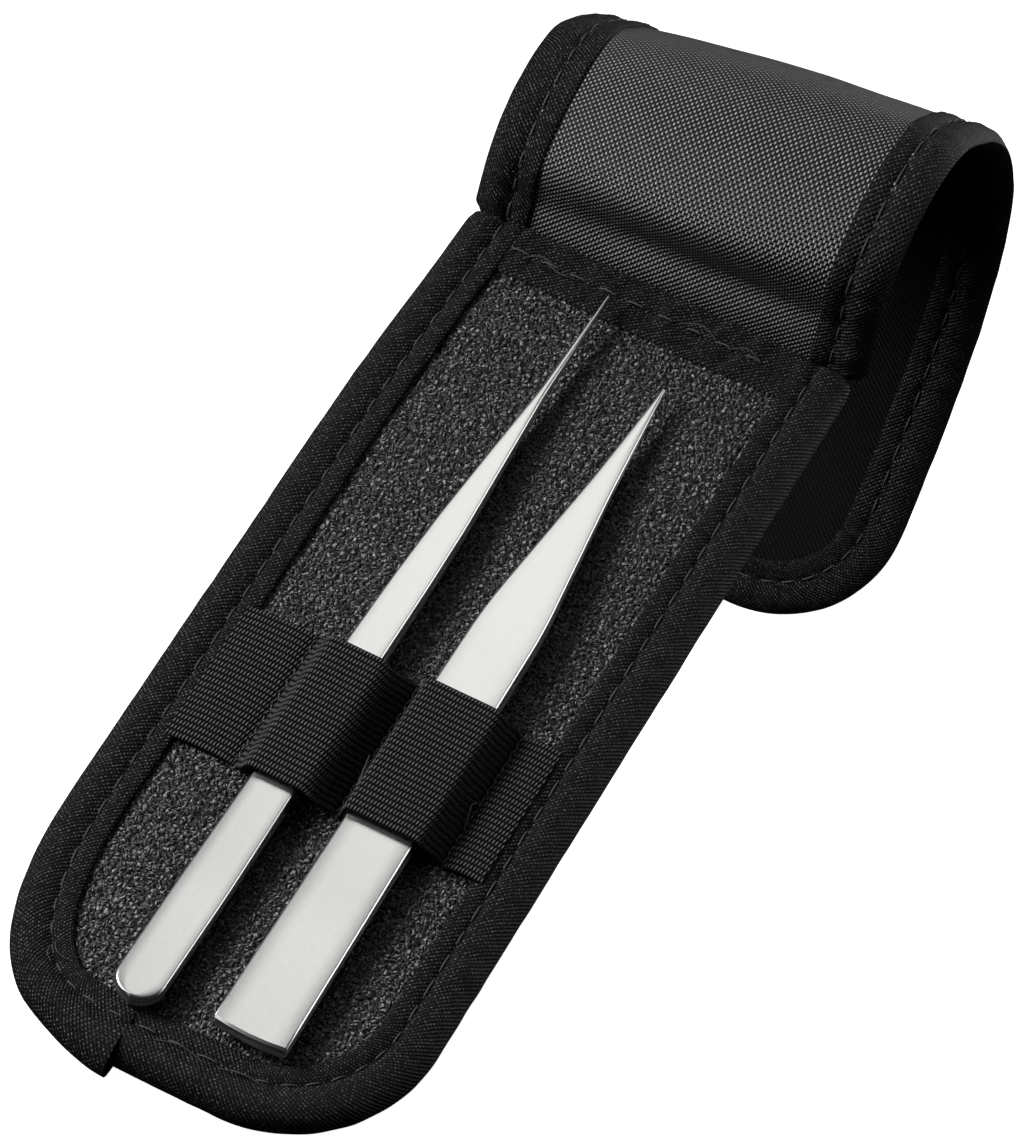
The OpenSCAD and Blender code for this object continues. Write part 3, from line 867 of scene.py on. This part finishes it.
def build_flap_binding():
    for k in range(8):
        rows = np.linspace(CUTS[k], CUTS[k + 1], max(int((CUTS[k + 1] - CUTS[k]) / 0.5), 6) + 1)
        for label, side in (("left", -1), ("right", 1)):
            tape = tape_sweep(f"flap_tape_{k}_{label}", flap_side(rows, side), FLAP_SECTION, flap_place,
                              71, tuck=1 - smooth(FOLD_S, FOLD_S + 1.8, rows))
            hang(tape, k, "binding_tape", *([f"flap_binding_{k}"] if k else []))
    points, normals, round_it = flap_end_path()
    t = np.minimum(round_it, round_it[-1] - round_it) + CUTS[8]
    corner = smooth(20, 30, t - CUTS[8])
    tape = tape_sweep(FLAP_TAPES[8], (points, normals, t), FLAP_SECTION, flap_place, 71, corner)
    hang(tape, 8, "binding_tape", "flap_binding_8")


def build_flap_stitches():
    """Running stitches on both faces of the flap's tapes."""
    height = 1.24
    faces = (flap_place, lambda x, s, n: flap_place(x, s, -n))
    for k in range(8):
        first = math.ceil(CUTS[k] / STITCH_PITCH) * STITCH_PITCH
        last = CUTS[k + 1] + STITCH_PITCH
        rows = np.linspace(first - 0.7, last, 60)
        paths = []
        for side in (-1, 1):
            for place in faces:
                paths += stitch_paths(flap_side(rows, side), STITCH_D, height, place, 90 + k, last - 0.9)
        if paths:
            hang(threads(f"flap_stitches_{k}", paths, STITCH_R), k, "thread")
    paths = []
    for place, seed in zip(faces, (99, 98)):
        paths += stitch_paths(flap_end_path(), STITCH_D, height, place, seed)
    hang(threads("flap_stitches_8", paths, STITCH_R), 8, "thread")


def build_base_back():
    """The nylon under the base, turned up at its far end to meet the flap."""
    start = flap_place(0.0, FOLD_S, -FLAP_N)
    turn_y, radius = FOLD_Y - 2.5, 3.1
    run = [(y, UNDER_Z + 0.08) for y in np.linspace(NEAR_Y + 5.5, turn_y, 130)]
    for a in np.linspace(0.15, 1.5, 10):
        run.append((turn_y + radius * math.sin(a), UNDER_Z + radius - 3.02 * math.cos(a)))
    run += [(start[1] - 0.05, start[2] - 0.6), (start[1], start[2] + 0.05)]
    run = np.array(run)
    along = heading(run)
    inner = run + 0.6 * np.stack([-along[:, 1], along[:, 0]], -1)
    left, right = inner_outline(5.2, np.minimum(run[:, 0], FOLD_Y - 1))
    x = between(left, right, 80)
    s = arc_length(run)
    rise = smooth(turn_y, FOLD_Y + 1.5, run[:, 0])[:, None]
    sway = 0.05 * wobble(s[:, None] + 0.4 * x, 9.0, 51) * (1 - rise)
    moved = x + rise * flap_shift(FOLD_S)
    skew = rise * 0.034 * x
    top = grid(moved, run[:, 0:1] + skew, run[:, 1:2] + sway)
    bottom = grid(moved, inner[:, 0:1] + skew, inner[:, 1:2])
    back = slab("base_back_nylon", top, bottom, grid(x, s[:, None]), MAT["nylon"])
    ride(back, "base", "outer_nylon", "base_shell")


# ---------------------------------------------------------------- the elastic strap
def smooth_line(points, step=0.25):
    """Corner-rounded line through guide points, evenly spaced, and the distances along it."""
    p = np.array(points, float)
    for _ in range(3):
        q = [p[0]]
        for a, b in zip(p, p[1:]):
            q += [0.75 * a + 0.25 * b, 0.25 * a + 0.75 * b]
        q.append(p[-1])
        p = np.array(q)
    s = arc_length(p)
    even = np.linspace(0, s[-1], max(int(s[-1] / step), 4) + 1)
    return np.stack([np.interp(even, s, p[:, 0]), np.interp(even, s, p[:, 1])], -1), even


def web_piece(name, line, start_u, drawn=0.0):
    """A length of webbing whose upper side runs along line, given in (x, z). drawn is how far its middle is
    pulled towards the near end. Returns the piece and its length."""
    run, s = smooth_line(line)
    along = heading(run)
    out = np.stack([-along[:, 1], along[:, 0]], -1)
    y = np.arange(STRAP_Y[0], STRAP_Y[1] + 0.01, RIB / 6)
    v = (y - STRAP_Y[0])[None, :]
    s2 = s[:, None]
    rib = 0.10 * np.abs(np.sin(math.pi * v / RIB)) ** 0.7
    edge = 0.25 * (1 - smooth(0, 0.5, np.minimum(v, v[0, -1] - v)))
    lift = rib - edge + 0.05 * wobble(s2 + 0.3 * v, 3.0, 77)
    pulled = drawn * smooth(0, 4.5, s2) * smooth(0, 6, s[-1] - s2)
    yy = y[None, :] + 0.16 * wobble(s2, 4.0, 78) - pulled
    depth = STRAP_T - 0.08 - 1.2 * edge
    top = grid(run[:, 0:1] + out[:, 0:1] * lift, yy, run[:, 1:2] + out[:, 1:2] * lift)
    bottom = grid(run[:, 0:1] - out[:, 0:1] * depth, yy, run[:, 1:2] - out[:, 1:2] * depth)
    return slab(name, top, bottom, grid(start_u + s2, v), MAT["elastic"]), s[-1]


def arch(feet, crown_left, crown_right, top_z):
    """A loop's line from foot to foot, in (x, z)."""
    a, b = feet
    up, down = crown_left - a, b - crown_right
    rising = [(a - 0.2, -0.15), (a + 0.08, 0.55), (a + 0.25 * up, 1.9), (a + 0.7 * up, top_z - 1.1)]
    crown = [(crown_left, top_z - 0.1), (crown_left + 0.6, top_z + 0.06),
             ((crown_left + crown_right) / 2, top_z + 0.12),
             (crown_right - 0.6, top_z + 0.06), (crown_right, top_z - 0.1)]
    falling = [(b - 0.66 * down, top_z - 1.3), (b - 0.25 * down, 1.8), (b - 0.08, 0.55), (b + 0.2, -0.15)]
    return rising + crown + falling


def build_strap():
    top_z = MID_Z + 1.95 + 0.1 + STRAP_T
    lie = 0.62
    left_end = [(-24.6, 0.45), (-22.0, lie), (-18, lie + 0.12), (-15.0, lie + 0.05), (-14.1, 0.3),
                (-13.75, -0.1)]
    right_end = [(18.55, -0.1), (18.95, 0.3), (19.7, lie), (22.5, lie + 0.1), (24.6, 0.5)]
    left, begun = web_piece("strap_left", left_end, 0.0)
    ride(left, "base", "elastic", "strap_left_end")
    loops = (("fine", FINE_FEET, (-10.9, -2.5), 2.1), ("broad", BROAD_FEET, (3.9, 15.1), 1.5))
    for label, feet, crown, drawn in loops:
        loop, run = web_piece(f"{label}_loop_web", arch(feet, *crown, top_z), begun, drawn)
        begun += run
        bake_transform(loop)
        settle(loop, "elastic", f"{label}_loop")
    right, run = web_piece("strap_right", right_end, begun)
    ride(right, "base", "elastic", "strap_right_end")


def build_tacks():
    """Zigzag rows that sew the strap down between the loops, with two loose ends."""
    paths = []
    for x in TACK_X:
        y = STRAP_Y[0] + 0.6
        lean = 0.2
        while y < STRAP_Y[1] - 1.5:
            paths.append(loose_thread([(x - lean, y, 0.0), (x, y + 0.55, 0.2), (x + lean, y + 1.1, 0.0)]))
            y += 1.15
            lean = -lean
    ends = [
        [(1.9, 49.7, 1.2), (2.4, 47, 1.9), (2.8, 44.5, 1.7), (2.8, 41.5, 0.9)],
        [(18.2, 50.5, 0.7), (17.9, 49.0, 1.6), (18.3, 47.4, 1.2), (18.5, 46.2, 0.6)],
    ]
    ride(threads("strap_tack_threads", paths, 0.16), "base", "thread", "strap_tacks")
    ride(threads("strap_loose_threads", [loose_thread(e) for e in ends], 0.13), "base", "thread")


# ---------------------------------------------------------------- the tweezers
# half width along the arm, then its outer and inner heights over the plane between the arms
FINE_PLAN = [(20, 3.6), (80, 2.7), (92, 2.3), (120, 0.6), (140, 0.16)]
BROAD_PLAN = [(0, 5.6), (20, 5.35), (76, 4.75), (81, 4.45), (106, 1.85), (126, 0.2)]
OUTER = ((0, 1.2), (22, 1.25), (50, 1.95), (75, 1.9), (-25, 1.25), (-0.0001, 0.42))
INNER = ((0, 0.06), (12, 0.06), (30, 0.45), (50, 0.7), (75, 0.65), (-8, 0.05), (-0.0001, 0.02))
BEVEL = 0.36


def rounded(y, at, values, reach):
    """Interpolation whose corners are rounded over reach to either side."""
    return sum(np.interp(y + k * reach, at, values) for k in (-1, -0.5, 0, 0.5, 1)) / 5


def along_profile(table, length, y):
    """Heights from a profile; negative stations count back from the tip."""
    at = [p[0] if p[0] >= 0 else length + p[0] for p in table]
    return rounded(y, at, [p[1] for p in table], 3.0)


def half_width(plan, heel, y):
    w = rounded(y, [p[0] for p in plan], [p[1] for p in plan], 1.5)
    if heel:
        w = np.where(y < heel, np.sqrt(np.maximum(heel * heel - (heel - y) ** 2, 0)), w)
    return w


def face_half_width(full, edge, heel, y):
    """Half width of the flat outer face, inside the bevels."""
    face = full - edge
    if not heel:
        return face
    r = heel - BEVEL
    inset = np.sqrt(np.maximum(r * r - np.clip(heel - y, 0, r) ** 2, 0))
    return np.where(y < heel, np.minimum(np.where(y < BEVEL, 0.0, inset), face), face)


def blade_stations(length, heel):
    """Distances along an arm at which its section is drawn."""
    first = np.array([0.0, 0.12, 0.24, BEVEL])
    if heel:
        first = heel * (1 - np.cos(np.linspace(0.02, math.pi / 2, 26)))
    tip = np.linspace(length - 3, length, 10)
    return np.concatenate([first, np.arange(4.5, 70, 2.0), np.arange(70, length - 3, 1.0), tip])


def blade_section(w, f, o, i, b, drop, ridge):
    """Points (x, z) round an arm, from its lower left corner over the top. w and f are the half widths of the
    arm and its face, o and i the outer and inner heights, and b the bevel."""
    deep = min(1.6 * b, 0.6 * (o - i))
    top = o - drop
    turn = np.linspace(0, math.pi / 2, 5)
    right = [(f + (w - f) * math.sin(a), top - ridge - deep * (1 - math.cos(a))) for a in turn]
    right += [(w, min(i + 0.3 * (o - i), right[-1][1])), (w - 0.3 * (w - f), i)]
    flank = top - ridge * 0.4 + 0.012
    crown = [(-f * 0.5, flank), (0.0, top + 0.015), (f * 0.5, flank)]
    return [(-x, z) for x, z in right[::-1]] + crown + right


def blade(name, length, plan, heel, place, upper):
    """One arm: bevelled edges, a faintly crowned outer face and a ridge towards the point. heel is the radius
    of a round heel, or 0, and place the heel's x and y and the arm's lean."""
    y = blade_stations(length, heel)
    full = half_width(plan, heel, y)
    out = along_profile(OUTER, length, y)
    inn = along_profile(INNER, length, y)
    edge = np.minimum(np.minimum(BEVEL, 0.45 * (out - inn)), 0.55 * full)
    face = face_half_width(full, edge, heel, y)
    drop = np.clip(BEVEL - y, 0, BEVEL) * 0.8
    ridge = 0.10 * smooth(length - 45, length - 14, y) * np.minimum(1, full / 1.2)
    stations = zip(full, face, out, inn, edge, drop, ridge)
    section = np.array([blade_section(*station) for station in stations])
    rings = grid(section[..., 0], y[:, None], section[..., 1])
    if not heel:
        bow = 0.5 * (1 - (rings[..., 0] / full[0]) ** 2)
        rings[..., 1] -= bow * (1 - smooth(0, 6, rings[..., 1]))
    if not upper:
        rings[..., 2] *= -1
    uv = grid(section_length(rings[40])[None, :], y[:, None])
    across, along, rise = np.moveaxis(rings, -1, 0)
    c, s = math.cos(place[2]), math.sin(place[2])
    rings = grid(place[0] + across * c + along * s, place[1] - across * s + along * c, rise + MID_Z)
    return sharpen(swept(name, rings, uv, MAT["steel"]), 30)


def build_tweezers():
    pairs = (("fine", FINE_LEN, FINE_PLAN, FINE_PLAN[0][1], (FINE_X, FINE_Y, FINE_LEAN)),
             ("broad", BROAD_LEN, BROAD_PLAN, 0.0, (BROAD_X, 0.0, 0.0)))
    for label, length, plan, heel, place in pairs:
        lower = blade(f"{label}_lower_blade", length, plan, heel, place, False)
        ride(lower, f"{label}_tweezers", "steel", f"{label}_lower_arm")
        upper = blade(f"{label}_upper_blade", length, plan, heel, place, True)
        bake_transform(upper)
        settle(upper, "steel", f"{label}_upper_arm")


def repaint_nodes():
    """Procedural materials for the CAD nodes that stay."""
    for name in ("fine_welds", "broad_welds"):
        node = frame["nodes"][name]
        node.data.materials.clear()
        node.data.materials.append(MAT["steel"])


# ---------------------------------------------------------------- floor, light and camera
CAMERA_AT = (213.709, -504.596, 867.575)
CAMERA_RIGHT = (0.88705, 0.45199, 0.09408)
CAMERA_DOWN = (0.41796, -0.69965, -0.57949)
MIRROR = np.array([-0.196, 0.553, 0.810])  # from the tweezers to the light that their tops reflect


def dome(reach, level, rings, sides):
    """Points and faces of a disc that rises into a dome."""
    points = [(0.0, 0.0, level)]
    for k in range(rings):
        rise = max(0.0, (k - 1) / (rings - 2)) * math.pi / 2 * 0.98
        out = reach * math.cos(rise)
        for a in np.arange(sides) * 2 * math.pi / sides:
            points.append((out * math.cos(a), out * math.sin(a), level + reach * math.sin(rise)))
    faces = [(0, 1 + k, 1 + (k + 1) % sides) for k in range(sides)]
    for k in range(rings - 1):
        for j in range(sides):
            a, b = 1 + k * sides + j, 1 + k * sides + (j + 1) % sides
            faces.append((a, a + sides, b + sides, b))
    return points, faces


def build_floor():
    """A pale floor that rises into a dome, so that every view has the same plain background."""
    points, faces = dome(3.0, CAD_BOX[0][2], 14, 48)
    mesh = bpy.data.meshes.new("floor")
    mesh.from_pydata(points, [], faces)
    s = Shader("pale_floor")
    s.finish((0.86, 0.86, 0.86, 1), 0.9, specular=0.1)
    s.bsdf.inputs["Emission Color"].default_value = (1, 1, 1, 1)
    s.bsdf.inputs["Emission Strength"].default_value = 0.96
    mesh.materials.append(s.mat)
    floor = bpy.data.objects.new("floor", mesh)
    floor.visible_glossy = floor.visible_diffuse = False
    bpy.context.scene.collection.objects.link(floor)


def area_light(name, at, target, width, height, watts):
    light = bpy.data.lights.new(name, "AREA")
    light.shape, light.size, light.size_y, light.energy = "RECTANGLE", width, height, watts
    obj = bpy.data.objects.new(name, light)
    bpy.context.scene.collection.objects.link(obj)
    where, aim = to_world(at), to_world(target)
    obj.location = where
    obj.rotation_euler = Vector(aim - where).to_track_quat("-Z", "Y").to_euler()
    return obj


def build_lights():
    middle = np.array([5.0, 75.0, 3.0])
    mirror = area_light("mirror_softbox", middle + [0, 70, 0] + 700 * MIRROR, middle, 0.44, 0.52, 0.86)
    mirror.visible_diffuse = False
    area_light("key_softbox", middle + [-510, -80, 465], middle, 0.22, 0.22, 5.3)
    side = area_light("side_reflector", middle + [560, 390, 110], middle, 0.5, 0.6, 2.1)
    side.visible_diffuse = False
    area_light("front_fill", middle + [-390, -330, 500], middle, 0.35, 0.35, 0.9)
    area_light("back_softbox", middle + [260, 800, -200], middle + [0, 80, 0], 0.4, 0.4, 1.6)
    world = bpy.data.worlds.new("studio")
    world.use_nodes = True
    background = world.node_tree.nodes["Background"]
    background.inputs[0].default_value = (1, 1, 1, 1)
    background.inputs[1].default_value = 0.01
    bpy.context.scene.world = world
    bpy.context.scene.view_settings.view_transform = "Standard"


def build_camera():
    camera = bpy.data.objects.new("camera", bpy.data.cameras.new("camera"))
    camera.data.lens = 241.25
    camera.data.sensor_width = 36.0
    camera.data.clip_end = 20.0
    right, up = turn_world(CAMERA_RIGHT), -turn_world(CAMERA_DOWN)
    back = np.cross(right, up)
    spin = Matrix((right, up, back)).transposed()
    camera.matrix_world = Matrix.Translation(Vector(to_world(CAMERA_AT))) @ spin.to_4x4()
    bpy.context.scene.collection.objects.link(camera)
    bpy.context.scene.camera = camera


build_camera()
build_floor()
build_lights()
repaint_nodes()
build_core()
build_base_lining()
build_base_binding()
build_base_stitches()
build_hem()
build_base_back()
build_tweezers()
build_strap()
build_tacks()
build_flap_binding()
build_flap_cloth("lining", FLAP_N, 0.06, MAT["lining"], "flap_lining", "flap_lining")
build_flap_cloth("nylon", -FLAP_N, -0.06, MAT["nylon"], "outer_nylon", "flap_shell")
build_flap_stitches()
